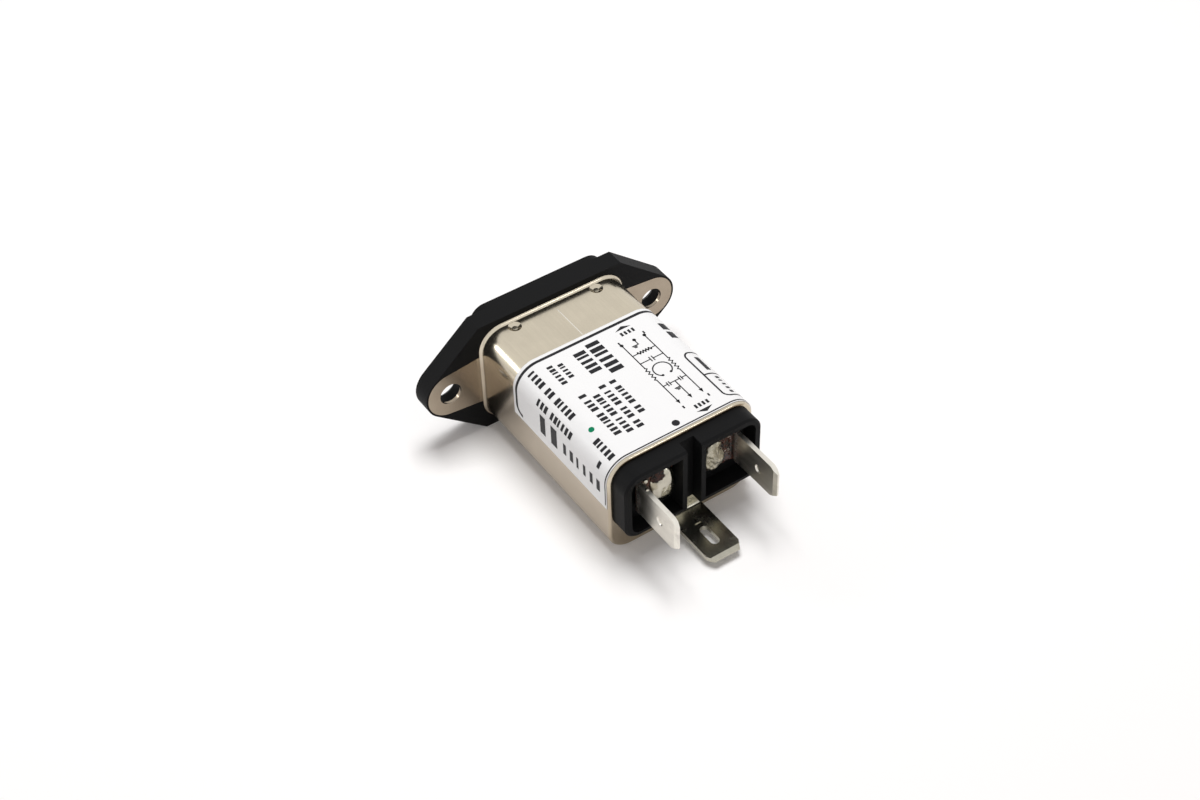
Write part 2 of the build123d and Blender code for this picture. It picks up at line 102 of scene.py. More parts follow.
class LineFilterSettings(bpy.types.PropertyGroup):
    """Sizes and colours of the finishes, the print and the studio."""

    nickel: bpy.props.FloatVectorProperty(
        name="Nickel Plate",
        description="Colour of the can's nickel plate",
        subtype="COLOR",
        default=(0.62, 0.555, 0.44),
        min=0.0,
        max=1.0,
    )
    tin: bpy.props.FloatVectorProperty(
        name="Tin Plate",
        description="Colour of the tinned terminals",
        subtype="COLOR",
        default=(0.76, 0.73, 0.66),
        min=0.0,
        max=1.0,
    )
    moulding: bpy.props.FloatVectorProperty(
        name="Black Moulding",
        description="Colour of the flange and the rear insulator",
        subtype="COLOR",
        default=(0.0052, 0.0053, 0.0056),
        min=0.0,
        max=1.0,
    )
    label_white: bpy.props.FloatVectorProperty(
        name="Label",
        description="Colour of the label film",
        subtype="COLOR",
        default=(0.875, 0.88, 0.885),
        min=0.0,
        max=1.0,
    )
    ink: bpy.props.FloatVectorProperty(
        name="Ink",
        description="Colour of the label's print",
        subtype="COLOR",
        default=(0.006, 0.006, 0.0075),
        min=0.0,
        max=1.0,
    )
    green_dot: bpy.props.FloatVectorProperty(
        name="Green Dot",
        description="Colour of the inspection dot on the label",
        subtype="COLOR",
        default=(0.0, 0.13, 0.06),
        min=0.0,
        max=1.0,
    )
    flux: bpy.props.FloatVectorProperty(
        name="Flux",
        description="Colour of the flux left by soldering",
        subtype="COLOR",
        default=(0.05, 0.014, 0.008),
        min=0.0,
        max=1.0,
    )
    border_width: bpy.props.FloatProperty(
        name="Border Line",
        description="Width of the printed border line, in millimetres",
        default=0.55,
        min=0.1,
        max=1.0,
    )
    circuit_width: bpy.props.FloatProperty(
        name="Circuit Line",
        description="Width of the circuit drawing's lines, in millimetres",
        default=0.2,
        min=0.05,
        max=0.6,
    )
    view_azimuth: bpy.props.FloatProperty(
        name="View Azimuth",
        description="Direction from which the camera looks, about the vertical",
        subtype="ANGLE",
        default=math.radians(-32.74),
    )
    view_elevation: bpy.props.FloatProperty(
        name="View Elevation",
        description="Height of the camera above the object's own level plane",
        subtype="ANGLE",
        default=math.radians(44.53),
    )
    view_roll: bpy.props.FloatProperty(
        name="View Roll",
        description="Roll of the camera about its own axis",
        subtype="ANGLE",
        default=math.radians(-2.05),
    )
    view_distance: bpy.props.FloatProperty(
        name="View Distance",
        description="Distance from the camera to the object's origin, along the view",
        subtype="DISTANCE",
        default=0.33959,
        min=0.05,
    )
    floor_size: bpy.props.FloatProperty(
        name="Floor Size",
        description="Width of the studio floor",
        subtype="DISTANCE",
        default=6.0,
        min=0.5,
    )


def settings():
    """The scene's own copy of the settings."""
    return bpy.context.scene.line_filter


# Shader expressions


class Sock:
    """A shader socket that can stand in a Python expression."""

    def __init__(self, graph, socket):
        self.graph = graph
        self.socket = socket

    def _math(self, operation, *values):
        return self.graph.node("ShaderNodeMath", {"operation": operation}, dict(enumerate(values)))

    def __add__(self, other):
        return self._math("ADD", self, other)

    def __radd__(self, other):
        return self._math("ADD", other, self)

    def __sub__(self, other):
        return self._math("SUBTRACT", self, other)

    def __rsub__(self, other):
        return self._math("SUBTRACT", other, self)

    def __mul__(self, other):
        return self._math("MULTIPLY", self, other)

    def __rmul__(self, other):
        return self._math("MULTIPLY", other, self)

    def __abs__(self):
        return self._math("ABSOLUTE", self)

    def __lt__(self, other):
        return self._math("LESS_THAN", self, other)

    def __gt__(self, other):
        return self._math("GREATER_THAN", self, other)


class Graph:
    """A node tree that grows one node at a time."""

    def __init__(self, tree):
        self.tree = tree

    def node(self, kind, options, values, output=0):
        """Adds a node: its options first, then the values or links of its sockets."""
        made = self.tree.nodes.new(kind)
        for key, value in options.items():
            setattr(made, key, value)
        for key, value in values.items():
            if isinstance(value, Sock):
                self.tree.links.new(value.socket, made.inputs[key])
            else:
                made.inputs[key].default_value = value
        return Sock(self, made.outputs[output])

    def seen(self):
        """1 where the camera, a mirror or clear matter looks, and 0 for soft light."""
        looks = [
            self.node("ShaderNodeLightPath", {}, {}, ray)
            for ray in ("Is Camera Ray", "Is Glossy Ray", "Is Transmission Ray")
        ]
        return looks[0] + looks[1] + looks[2]


class Paint(Graph):
    """One material, built on a Principled shader."""

    def __init__(self, name, **sockets):
        self.material = bpy.data.materials.new(name)
        self.material.use_nodes = True
        super().__init__(self.material.node_tree)
        self.shader = self.tree.nodes["Principled BSDF"]
        for socket_name, value in sockets.items():
            self.shader.inputs[socket_name.replace("_", " ")].default_value = value

    def feed(self, socket_name, value):
        """Links a value to a socket of the Principled shader."""
        self.tree.links.new(value.socket, self.shader.inputs[socket_name])

    def place(self):
        """The point on the surface, in the object's own frame, in metres."""
        return self.node("ShaderNodeTexCoord", {}, {}, "Object")

    def axis(self, letter):
        """One coordinate of the point on the surface, in metres."""
        return self.node("ShaderNodeSeparateXYZ", {}, {"Vector": self.place()}, letter)

    def stretched(self, scale):
        """The surface point multiplied by a scale for each axis."""
        return self.node(
            "ShaderNodeVectorMath", {"operation": "MULTIPLY"}, {0: self.place(), 1: scale}
        )

    def grain(self, scale, detail=4.0, roughness=0.55):
        """Noise from 0 to 1, with a scale for each axis in cycles per metre."""
        return self.node(
            "ShaderNodeTexNoise",
            {},
            {"Vector": self.stretched(scale), "Scale": 1.0, "Detail": detail, "Roughness": roughness},
            "Fac",
        )

    def ease(self, value, low, high, to_low=0.0, to_high=1.0):
        """Maps a value smoothly from one range to another."""
        return self.node(
            "ShaderNodeMapRange",
            {"interpolation_type": "SMOOTHSTEP"},
            {
                "Value": value,
                "From Min": low,
                "From Max": high,
                "To Min": to_low,
                "To Max": to_high,
            },
        )

    def tint(self, mask, first, second):
        """Mixes two colours by a mask."""
        options = {"data_type": "RGBA"}
        values = {0: mask, 6: opaque(first), 7: opaque(second)}
        return self.node("ShaderNodeMix", options, values, 2)

    def bump(self, height, depth_mm, strength=1.0):
        """Feeds a height field to the shader's normal."""
        self.feed(
            "Normal",
            self.node(
                "ShaderNodeBump",
                {},
                {"Height": height, "Distance": depth_mm * MM, "Strength": strength},
                "Normal",
            ),
        )


def opaque(colour):
    """A colour with alpha, or a socket as it is."""
    if isinstance(colour, Sock):
        return colour
    return (*tuple(colour)[:3], 1.0)


def shade(colour, factor):
    """A colour made darker or lighter."""
    return tuple(min(1.0, channel * factor) for channel in tuple(colour)[:3])


def even(scale):
    """One noise scale for all three axes."""
    return (scale, scale, scale)


def dress(paint, *node_names):
    """Gives CAD nodes a material."""
    for node_name in node_names:
        for material_slot in NODES[node_name].material_slots:
            material_slot.material = paint.material


# Finishes of the metal pieces


def paint_nickel(colour):
    """Satin nickel on drawn steel: faint draw lines and clouds, a scratch on top, painted shade low
    on the sides and on the ears where they mirror the shadowed floor, and a brown line above the
    insulator."""
    paint = Paint("nickel_plate", Metallic=1.0)
    lines = paint.grain((2400.0, 60.0, 2400.0), 6.0, 0.65)
    clouds = paint.grain((210.0, 150.0, 210.0), 3.0)
    specks = paint.grain(even(2600.0), 2.0)
    across = paint.axis("X")
    along = paint.axis("Y")
    up = paint.axis("Z")
    scratch_x, scratch_front, scratch_rear = -0.1 * MM, -2.0 * MM, -9.5 * MM
    scratch = paint.ease(abs(across - scratch_x), 0.04 * MM, 0.11 * MM, 1.0, 0.0)
    scratch = scratch * (up > (CAN_TOP - 0.4) * MM) * (along < scratch_front) * (along > scratch_rear)
    rim = paint.ease(along, CAN_LOW.y, CAN_LOW.y + 0.5 * MM, 1.0, 0.0)
    seam = paint.ease(up, (CAN_TOP - 1.2) * MM, (CAN_TOP - 0.7) * MM)
    seam = seam * (along < CAN_LOW.y + 0.08 * MM)
    # Painted shade: the nickel is darkened low on the sides and on the ears, where they mirror the
    # shadowed floor
    low = paint.ease(up, 2.0 * MM, 7.0 * MM, 1.0, 0.0)
    ears = (along > -0.05 * MM) * (abs(across) > (CAN_HALF_WIDTH + 1.0) * MM)
    dull_and_painted_shade = paint.node("ShaderNodeMath", {"operation": "MAXIMUM"}, {0: low * 0.75, 1: ears})
    tone = paint.tint(paint.ease(lines, 0.3, 0.7), shade(colour, 0.97), shade(colour, 1.03))
    tone = paint.tint(paint.ease(clouds, 0.35, 0.7) * 0.4, tone, shade(colour, 0.86))
    tone = paint.tint(scratch * 0.6, tone, BARE_SCRATCH)
    tone = paint.tint(dull_and_painted_shade * (0.75 + clouds * 0.35), tone, PAINTED_SHADE_NICKEL)
    tone = paint.tint(rim * 0.2, tone, RIM_BRONZE)
    tone = paint.tint(seam * 0.8, tone, SEAM_BROWN)
    paint.feed("Base Color", tone)
    paint.feed("Roughness", 0.13 + lines * 0.08 + clouds * 0.08 + scratch * 0.2)
    paint.bump(lines * 0.4 + specks * 0.25 + scratch * 2.0, 0.004)
    return paint


def paint_tin(name, colour, roughness):
    """Tin plate: rolled streaks, small dull blotches and pits."""
    paint = Paint(name, Metallic=1.0)
    streaks = paint.grain((900.0, 130.0, 900.0), 5.0, 0.6)
    blotches = paint.ease(paint.grain(even(420.0), 3.0), 0.5, 0.75)
    pits = paint.grain(even(3200.0), 2.0)
    tone = paint.tint(paint.ease(streaks, 0.3, 0.7), shade(colour, 0.93), shade(colour, 1.05))
    paint.feed("Base Color", paint.tint(blotches * 0.35, tone, shade(colour, 0.7)))
    paint.feed("Roughness", roughness + streaks * 0.1 + blotches * 0.08)
    paint.bump(streaks * 0.5 + pits * 0.3, 0.008)
    return paint


def add_flux(paint, tone, rough, stain, flux_colour):
    """Brown glassy flux over metal, where stain is 1."""
    clouds = paint.ease(paint.grain(even(1500.0), 4.0), 0.35, 0.68)
    brown = paint.tint(clouds, shade(flux_colour, 0.1), shade(flux_colour, 1.8))
    paint.feed("Base Color", paint.tint(stain, tone, brown))
    paint.feed("Metallic", 1.0 - stain)
    paint.feed("Roughness", rough * (1.0 - stain) + stain * 0.12)
    paint.feed("Coat Weight", stain * 0.3)


def paint_fluxed_tin(colour, flux_colour, flux_from, flux_to):
    """Tin plate of the terminals, stained by flux towards the feet."""
    paint = Paint("terminal_tin", Coat_Roughness=0.08, Specular_IOR_Level=0.15)
    streaks = paint.grain((900.0, 130.0, 900.0), 5.0, 0.6)
    blotches = paint.ease(paint.grain(even(420.0), 3.0), 0.55, 0.8)
    tone = paint.tint(paint.ease(streaks, 0.3, 0.7), shade(colour, 0.94), shade(colour, 1.05))
    tone = paint.tint(blotches * 0.6, tone, shade(colour, 0.62))
    reach = paint.ease(paint.axis("Y"), flux_from, flux_to)
    patches = paint.ease(paint.grain(even(800.0), 4.0) + reach * 0.25, 0.52, 0.66)
    add_flux(paint, tone, 0.27 + streaks * 0.14 + blotches * 0.1, reach * patches, flux_colour)
    paint.bump(streaks * 0.5 + patches * reach * 2.0, 0.01)
    return paint


def paint_solder(name, colour, frosting, lumps_mm, flux_colour, flux_centre, flux_size, flux_edge):
    """Solder: bright where it froze last, frosted and pitted, with a patch of flux on it."""
    paint = Paint(name, Coat_Roughness=0.06, Specular_IOR_Level=0.15)
    frost = paint.grain(even(1300.0), 5.0, 0.6)
    pits = paint.grain(even(2600.0), 2.0)
    ragged = paint.grain(even(900.0), 4.0)
    dull_and_painted_shade = paint.ease(frost, 0.42, 0.66)
    away_x = (paint.axis("X") - flux_centre[0] * MM) * (1 / (flux_size[0] * MM))
    away_z = (paint.axis("Z") - flux_centre[1] * MM) * (1 / (flux_size[1] * MM))
    away = away_x * away_x + away_z * away_z + (ragged - 0.5) * flux_edge
    stain = paint.ease(away, 0.8, 1.05, 1.0, 0.0)
    tone = paint.tint(dull_and_painted_shade * frosting, colour, shade(colour, 0.6))
    add_flux(paint, tone, 0.14 + frosting * (0.12 + dull_and_painted_shade * 0.3), stain, flux_colour)
    paint.bump(frost + pits * 0.4 + stain * (1.0 + ragged * 3.0), lumps_mm)
    return paint


# Finishes of the plastic pieces


def paint_moulding(name, colour, grain_mm, roughness):
    """Black glass-filled moulding: fine spark grain, faint flow marks and scuffs."""
    paint = Paint(name, Specular_IOR_Level=0.1)
    spark = paint.grain(even(5200.0), 3.0, 0.6)
    flow = paint.grain((70.0, 130.0, 70.0), 3.0)
    scuffs = paint.ease(paint.grain((380.0, 380.0, 1400.0), 5.0, 0.7), 0.62, 0.8)
    tone = paint.tint(flow, shade(colour, 0.8), shade(colour, 1.35))
    tone = paint.tint(scuffs * 0.3, tone, shade(colour, 4.0))
    paint.feed("Base Color", tone)
    paint.feed("Roughness", roughness + spark * 0.12 + flow * 0.1 + scuffs * 0.12)
    paint.bump(spark + flow * 0.3, grain_mm)
    return paint


def paint_plain_plastic(name, colour, roughness):
    """Unpainted inner plastic with a light grain."""
    paint = Paint(name)
    grain = paint.grain(even(2400.0), 3.0)
    clouds = paint.grain(even(220.0), 2.0)
    paint.feed("Base Color", paint.tint(clouds, shade(colour, 0.86), shade(colour, 1.1)))
    paint.feed("Roughness", roughness + grain * 0.15)
    paint.bump(grain, 0.01)
    return paint


# Finishes of the pieces inside the can


def paint_ferrite():
    """Pressed ferrite: dark, powdery and finely pitted."""
    paint = Paint("ferrite")
    grain = paint.grain(even(3800.0), 4.0, 0.7)
    chips = paint.ease(paint.grain(even(900.0), 3.0), 0.6, 0.75)
    tone = paint.tint(grain, (0.045, 0.045, 0.05), (0.09, 0.09, 0.095))
    paint.feed("Base Color", paint.tint(chips * 0.4, tone, (0.14, 0.14, 0.145)))
    paint.feed("Roughness", 0.55 + grain * 0.2)
    paint.bump(grain + chips * 0.5, 0.02)
    return paint


def paint_enamelled_copper():
    """Enamelled copper wire: a clear coat over warm metal."""
    paint = Paint("enamelled_copper", Metallic=1.0, Coat_Weight=0.5, Coat_Roughness=0.1)
    bands = paint.grain(even(1700.0), 3.0)
    paint.feed("Base Color", paint.tint(bands, (0.5, 0.19, 0.07), (0.72, 0.33, 0.14)))
    paint.feed("Roughness", 0.2 + bands * 0.15)
    paint.bump(bands, 0.008)
    return paint


def paint_fish_paper():
    """Insulating paper: fibres in a waxed sheet."""
    paint = Paint("insulating_paper")
    fibres = paint.grain((1400.0, 260.0, 1400.0), 6.0, 0.7)
    paint.feed("Base Color", paint.tint(fibres, (0.62, 0.56, 0.4), (0.8, 0.75, 0.6)))
    paint.feed("Roughness", 0.55 + fibres * 0.2)
    paint.bump(fibres, 0.02)
    return paint


def paint_lacquer(name, colour):
    """Dipped lacquer of a ceramic disc or a resistor."""
    paint = Paint(name, Coat_Weight=0.3, Coat_Roughness=0.15)
    runs = paint.grain(even(500.0), 3.0)
    specks = paint.grain(even(4200.0), 2.0)
    paint.feed("Base Color", paint.tint(runs, shade(colour, 0.82), shade(colour, 1.15)))
    paint.feed("Roughness", 0.32 + specks * 0.14)
    paint.bump(runs + specks * 0.3, 0.02)
    return paint


# Label and print


def paint_label(colour):
    """White film with a soft sheen, faint mottling and slightly grey edges."""
    paint = Paint("label_film", Coat_Weight=0.25, Coat_Roughness=0.3)
    mottle = paint.grain(even(340.0), 3.0)
    weave = paint.grain(even(3600.0), 2.0)
    along = paint.axis("Y")
    half_length = 0.5 * (LABEL_FRONT - LABEL_REAR) * MM
    from_middle = abs(along - 0.5 * (LABEL_FRONT + LABEL_REAR) * MM)
    worn = paint.ease(from_middle, half_length - 0.4 * MM, half_length)
    tone = paint.tint(mottle, shade(colour, 0.975), colour)
    tone = paint.tint(worn * 0.5, tone, shade(colour, 0.82))
    paint.feed("Base Color", tone)
    paint.feed("Roughness", 0.38 + mottle * 0.08)
    paint.bump(mottle + weave * 0.2, 0.006)
    return paint


def paint_ink(name, colour):
    """Printed ink: slightly uneven cover."""
    paint = Paint(name, Specular_IOR_Level=0.25)
    cover = paint.grain(even(2600.0), 3.0)
    paint.feed("Base Color", paint.tint(cover, colour, shade(colour, 2.0)))
    paint.feed("Roughness", 0.45 + cover * 0.14)
    paint.bump(cover, 0.004)
    return paint


def on_label(s, y, lift=INK_LIFT):
    """The point of the label's surface at s across and y along, in metres."""
    side = -1.0 if s < 0 else 1.0
    reach = abs(s)
    if reach <= LABEL_FLAT:
        x, z = reach, LABEL_TOP + lift
    elif reach <= LABEL_FLAT + LABEL_ARC:
        angle = (reach - LABEL_FLAT) / LABEL_CORNER_R
        radius = LABEL_CORNER_R + lift
        x = LABEL_FLAT + radius * math.sin(angle)
        z = LABEL_TOP - LABEL_CORNER_R + radius * math.cos(angle)
    else:
        x = LABEL_HALF_WIDTH + lift
        z = LABEL_TOP - LABEL_CORNER_R - (reach - LABEL_FLAT - LABEL_ARC)
    return Vector((side * x, y, z)) * MM


class Print:
    """Collects flat printed shapes and lays them on the label."""

    STEP = 0.35

    def __init__(self):
        self.mesh = bmesh.new()

    def face(self, points):
        """One flat shape through points on the label."""
        corners = [self.mesh.verts.new(on_label(s, y)) for s, y in points]
        self.mesh.faces.new(corners)

    def patch(self, s0, y0, s1, y1):
        """A rectangle, divided across so that it follows the label's corners."""
        parts = max(1, math.ceil(abs(s1 - s0) / self.STEP))
        for i in range(parts):
            a = s0 + (s1 - s0) * i / parts
            b = s0 + (s1 - s0) * (i + 1) / parts
            self.face([(a, y0), (b, y0), (b, y1), (a, y1)])

    def line(self, points, width):
        """A line of one width through points, each run drawn a little past its ends."""
        for (s0, y0), (s1, y1) in zip(points, points[1:]):
            length = math.hypot(s1 - s0, y1 - y0)
            ds = (s1 - s0) / length
            dy = (y1 - y0) / length
            end = width / 2
            ns = -dy * end
            ny = ds * end
            parts = max(1, math.ceil(length / self.STEP))
            ends = [(-end + (length + 2 * end) * i / parts) for i in range(parts + 1)]
            for a, b in zip(ends, ends[1:]):
                self.face(
                    [
                        (s0 + ds * a + ns, y0 + dy * a + ny),
                        (s0 + ds * b + ns, y0 + dy * b + ny),
                        (s0 + ds * b - ns, y0 + dy * b - ny),
                        (s0 + ds * a - ns, y0 + dy * a - ny),
                    ]
                )

    def arc(self, s, y, radius, start, stop, width, parts=24):
        """Part of a ring, between two angles in degrees from +s towards +y."""
        angles = [math.radians(start + (stop - start) * i / parts) for i in range(parts + 1)]
        for a, b in zip(angles, angles[1:]):
            inner = radius - width / 2
            outer = radius + width / 2
            self.face(
                [
                    (s + inner * math.cos(a), y + inner * math.sin(a)),
                    (s + outer * math.cos(a), y + outer * math.sin(a)),
                    (s + outer * math.cos(b), y + outer * math.sin(b)),
                    (s + inner * math.cos(b), y + inner * math.sin(b)),
                ]
            )

    def dot(self, s, y, radius, sides=24):
        """A full round, cut into wedges so that it follows the label's corners."""
        turns = [2 * math.pi * i / sides for i in range(sides + 1)]
        rim = [(s + radius * math.cos(t), y + radius * math.sin(t)) for t in turns]
        for a, b in zip(rim, rim[1:]):
            self.face([(s, y), a, b])

    def piece(self, name, paint):
        """Turns every shape outward and makes them one piece on the label."""
        for flat in self.mesh.faces:
            flat.normal_update()
            middle = flat.calc_center_median()
            outward = Vector((middle.x, 0.0, middle.z))
            if flat.normal.dot(outward) < 0:
                flat.normal_flip()
        return finish_piece(name, self.mesh, paint)


def finish_piece(name, mesh, paint, smooth=False):
    """Makes an object of a bmesh, with its material, slot and body."""
    data = bpy.data.meshes.new(name)
    if smooth:
        bmesh.ops.recalc_face_normals(mesh, faces=mesh.faces)
    mesh.to_mesh(data)
    mesh.free()
    for polygon in data.polygons:
        polygon.use_smooth = smooth
    data.materials.append(paint.material)
    made = bpy.data.objects.new(name, data)
    bpy.context.scene.collection.objects.link(made)
    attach(made, "root")
    return made


def print_piece(name, paint, draw, *sizes):
    """Draws one group of printed shapes and makes it one piece."""
    sheet = Print()
    draw(sheet, *sizes)
    return sheet.piece(name, paint)


def print_block_row(sheet, s, height, start, pitch, groups, weight):
    """A row of plain upright blocks in groups, from its start towards the rear. Weight is the
    widest block's share of the pitch."""
    narrowest, group_gap = 0.62, 0.75
    y = start
    for count in groups:
        for i in range(count):
            fullness = ((i * 5 + count * 3) % 4) / 3
            width = pitch * weight * (narrowest + (1 - narrowest) * fullness)
            sheet.patch(s, y, s + height, y - width)
            y -= pitch
        y -= pitch * group_gap


def print_border(sheet, width):
    """Front border line, rounded down both sides, and the thin rear line."""
    inset, rear_inset, corner = 0.9, 0.3, 1.6
    front = LABEL_FRONT - inset
    edge = LABEL_REACH - inset
    sheet.line([(corner - edge, front), (edge - corner, front)], width)
    sheet.arc(corner - edge, front - corner, corner, 90, 180, width, 10)
    sheet.arc(edge - corner, front - corner, corner, 0, 90, width, 10)
    rear = LABEL_REAR + rear_inset
    sheet.line([(-edge, rear), (edge, rear)], width * 0.45)


def print_arrow(sheet, s, y, half_width, height):
    """Solid triangle with its point at (s, y + height)."""
    sheet.face([(s - half_width, y), (s + half_width, y), (s, y + height)])


def print_zigzag(sheet, start, step, swing, count, width):
    """A line of count steps from a start, that swings to one side and the other in turn."""
    s, y = start
    ds, dy = step
    ws, wy = swing
    points = [(s, y)]
    for i in range(count):
        sign = 1 if i % 2 == 0 else -1
        points.append((s + ds * (i + 0.5) + ws * sign, y + dy * (i + 0.5) + wy * sign))
    points.append((s + ds * count, y + dy * count))
    sheet.line(points, width)


def print_ground_mark(sheet, s, y, width):
    """Three shortening strokes, the common earth symbol."""
    for i, half in enumerate((0.42, 0.28, 0.13)):
        sheet.line([(s - half, y - 0.24 * i), (s + half, y - 0.24 * i)], width)


def print_circuit(sheet, width):
    """Circuit of a two-line filter: resistor, capacitor, coupled coils and two earth capacitors."""
    line_s, earth_s, neutral_s, case_s = 3.38, 5.62, 7.8, 5.8
    front, rear = -15.5, -31.2
    coil_front, coil_rear, coil_steps = -22.0, -25.2, 8
    resistor_y, resistor_s, resistor_end_s, resistor_steps = -18.55, 4.4, 7.0, 10
    capacitor_y, plate_s, far_plate_s = -20.7, 5.36, 5.86
    core_y, core_r = -23.6, 1.55
    earth_y, left_plates, right_plates = -26.95, (4.25, 4.65), (6.5, 6.9)
    case_y, case_mark_s, load_mark_y = -16.7, 5.1, -28.4
    swing = 0.24
    print_arrow(sheet, 5.85, -12.3, 1.5, 0.7)
    for s in (line_s, case_s, neutral_s):
        sheet.dot(s, front, 0.32, 12)
    coil_step = (0.0, (coil_rear - coil_front) / coil_steps)
    for s in (line_s, neutral_s):
        sheet.line([(s, front), (s, coil_front)], width)
        print_zigzag(sheet, (s, coil_front), coil_step, (swing, 0.0), coil_steps, width)
        sheet.line([(s, coil_rear), (s, rear)], width)
    resistor_step = ((resistor_end_s - resistor_s) / resistor_steps, 0.0)
    sheet.line([(line_s, resistor_y), (resistor_s, resistor_y)], width)
    print_zigzag(
        sheet, (resistor_s, resistor_y), resistor_step, (0.0, swing), resistor_steps, width * 1.15
    )
    sheet.line([(resistor_end_s, resistor_y), (neutral_s, resistor_y)], width)
    sheet.line([(line_s, capacitor_y), (plate_s, capacitor_y)], width)
    sheet.line([(far_plate_s, capacitor_y), (neutral_s, capacitor_y)], width)
    for s in (plate_s, far_plate_s):
        sheet.line([(s, capacitor_y - 0.5), (s, capacitor_y + 0.5)], width)
    sheet.arc(earth_s, core_y, core_r, -58, 238, width * 1.15, 28)
    for s in (4.85, 6.4):
        sheet.dot(s, core_y - 1.25, 0.24, 12)
    sheet.line([(line_s, earth_y), (left_plates[0], earth_y)], width)
    sheet.line([(left_plates[1], earth_y), (right_plates[0], earth_y)], width)
    sheet.line([(right_plates[1], earth_y), (neutral_s, earth_y)], width)
    for s in left_plates + right_plates:
        sheet.line([(s, earth_y - 0.4), (s, earth_y + 0.4)], width)
    sheet.line([(earth_s, earth_y), (earth_s, rear)], width)
    sheet.line([(case_s, front), (case_s, case_y), (case_mark_s, case_y)], width)
    print_ground_mark(sheet, case_mark_s, case_y, width)
    print_ground_mark(sheet, case_mark_s, load_mark_y, width)
    for s in (line_s, earth_s, neutral_s):
        print_arrow(sheet, s, rear + 0.5, 0.34, -0.9)
    print_arrow(sheet, case_s, -34.55, 1.5, -0.75)


def print_marks(sheet):
    """Rows of plain blocks on the top and the left side, and the black dot at the rear edge."""
    # Near edge across, height, start along, pitch, blocks in each group, and weight
    rows = (
        (-1.45, 2.45, -12.0, 1.35, (6,), 0.76),
        (-4.2, 2.15, -12.7, 1.13, (5,), 0.76),
        (-7.5, 0.95, -13.2, 0.78, (5,), 0.74),
        (-9.25, 1.05, -12.7, 0.84, (6,), 0.74),
        (-12.4, 1.3, -11.8, 1.0, (4, 2, 5), 0.75),
        (-14.8, 1.25, -16.3, 1.02, (3, 6), 0.75),
        (-12.3, 1.25, -30.1, 0.98, (5,), 0.75),
        (-14.6, 1.2, -33.1, 1.0, (1,), 0.7),
        (-3.0, 1.15, -21.1, 0.92, (1, 5, 2), 0.74),
        (-5.0, 1.2, -21.1, 0.92, (1, 4, 3, 2), 0.74),
        (-6.9, 1.2, -22.4, 0.92, (6, 4), 0.74),
        (-8.8, 1.3, -21.1, 0.92, (1, 3, 6), 0.74),
        (-19.6, 3.9, -17.6, 3.1, (2,), 0.55),
        (-19.0, 2.3, -24.2, 1.85, (6,), 0.5),
    )
    for row in rows:
        print_block_row(sheet, *row)
    beside_arrows = (-12.9, -33.1)
    first_s, pitch = 4.7, 0.72
    for y in beside_arrows:
        for i in range(4):
            s = first_s + pitch * i
            sheet.patch(s, y, s + 0.42, y - 0.85)
    for s in (3.15, 7.95):
        for y in (-14.6, -32.2):
            sheet.patch(s, y, s + 0.3, y - 0.62)
    sheet.dot(0.3, -34.6, 0.65)


def print_green_dot(sheet):
    """The round inspection dot between the blocks."""
    sheet.dot(-10.97, -28.08, 0.5)


def print_side_frame(sheet, width):
    """Rounded two-cell frame on the right side, with plain blocks in it and in front of it."""
    low, high, corner = 10.1, 18.6, 1.1
    front, rear = -22.7, -34.4
    middle = 0.5 * (front + rear)
    sheet.line([(low + corner, front), (high - corner, front)], width)
    sheet.line([(low + corner, rear), (high - corner, rear)], width)
    sheet.line([(low, front - corner), (low, rear + corner)], width)
    sheet.line([(high, front - corner), (high, rear + corner)], width)
    sheet.line([(low, middle), (high, middle)], width)
    sheet.arc(low + corner, front - corner, corner, 90, 180, width, 8)
    sheet.arc(high - corner, front - corner, corner, 0, 90, width, 8)
    sheet.arc(low + corner, rear + corner, corner, 180, 270, width, 8)
    sheet.arc(high - corner, rear + corner, corner, 270, 360, width, 8)
    sheet.patch(11.5, front - 1.3, 12.5, middle + 1.0)
    print_block_row(sheet, 11.6, 0.8, middle - 0.8, 0.95, (5,), 0.6)
    print_block_row(sheet, 13.9, 0.8, front - 1.2, 0.95, (4,), 0.6)
    print_block_row(sheet, 13.9, 0.8, middle - 0.8, 0.95, (5,), 0.6)
    sheet.patch(11.3, -14.2, 12.9, -16.0)
    sheet.patch(11.3, -16.6, 12.9, -18.4)


# Root of the can's lip


def corner_path(half_width, half_height, radius, steps=10):
    """Points of a rounded rectangle, each with its outward direction, as (x, z) pairs."""
    path = []
    for turn, (sx, sz) in enumerate(((1, 1), (-1, 1), (-1, -1), (1, -1))):
        for i in range(steps + 1):
            angle = 0.5 * math.pi * (turn + i / steps)
            out_x, out_z = math.cos(angle), math.sin(angle)
            x = sx * (half_width - radius) + radius * out_x
            z = sz * (half_height - radius) + radius * out_z
            path.append(((x, z), (out_x, out_z)))
    return path


def root_fillet(radius, paint):
    """The hollow curve where the can's wall turns out into its lip, as a closed ring of metal."""
    steps, bite, fullness = 8, 0.05, 0.8
    section = []
    for i in range(steps + 1):
        turn = 0.5 * math.pi * i / steps
        out = radius * (1 - math.sin(turn)) ** fullness
        back = radius * (1 - math.cos(turn)) ** fullness
        section.append((out, -back))
    section.append((-bite, bite))
    mesh = bmesh.new()
    rings = []
    for (x, z), (out_x, out_z) in corner_path(CAN_HALF_WIDTH, CAN_TOP, CAN_CORNER_R):
        ring = []
        for out, y in section:
            ring.append(mesh.verts.new(Vector((x + out * out_x, y, z + out * out_z)) * MM))
        rings.append(ring)
    for ring, after in zip(rings, rings[1:] + rings[:1]):
        for i in range(len(section)):
            j = (i + 1) % len(section)
            mesh.faces.new((ring[i], ring[j], after[j], after[i]))
    return finish_piece("can_root_fillet", mesh, paint, smooth=True)


# Solder and flux


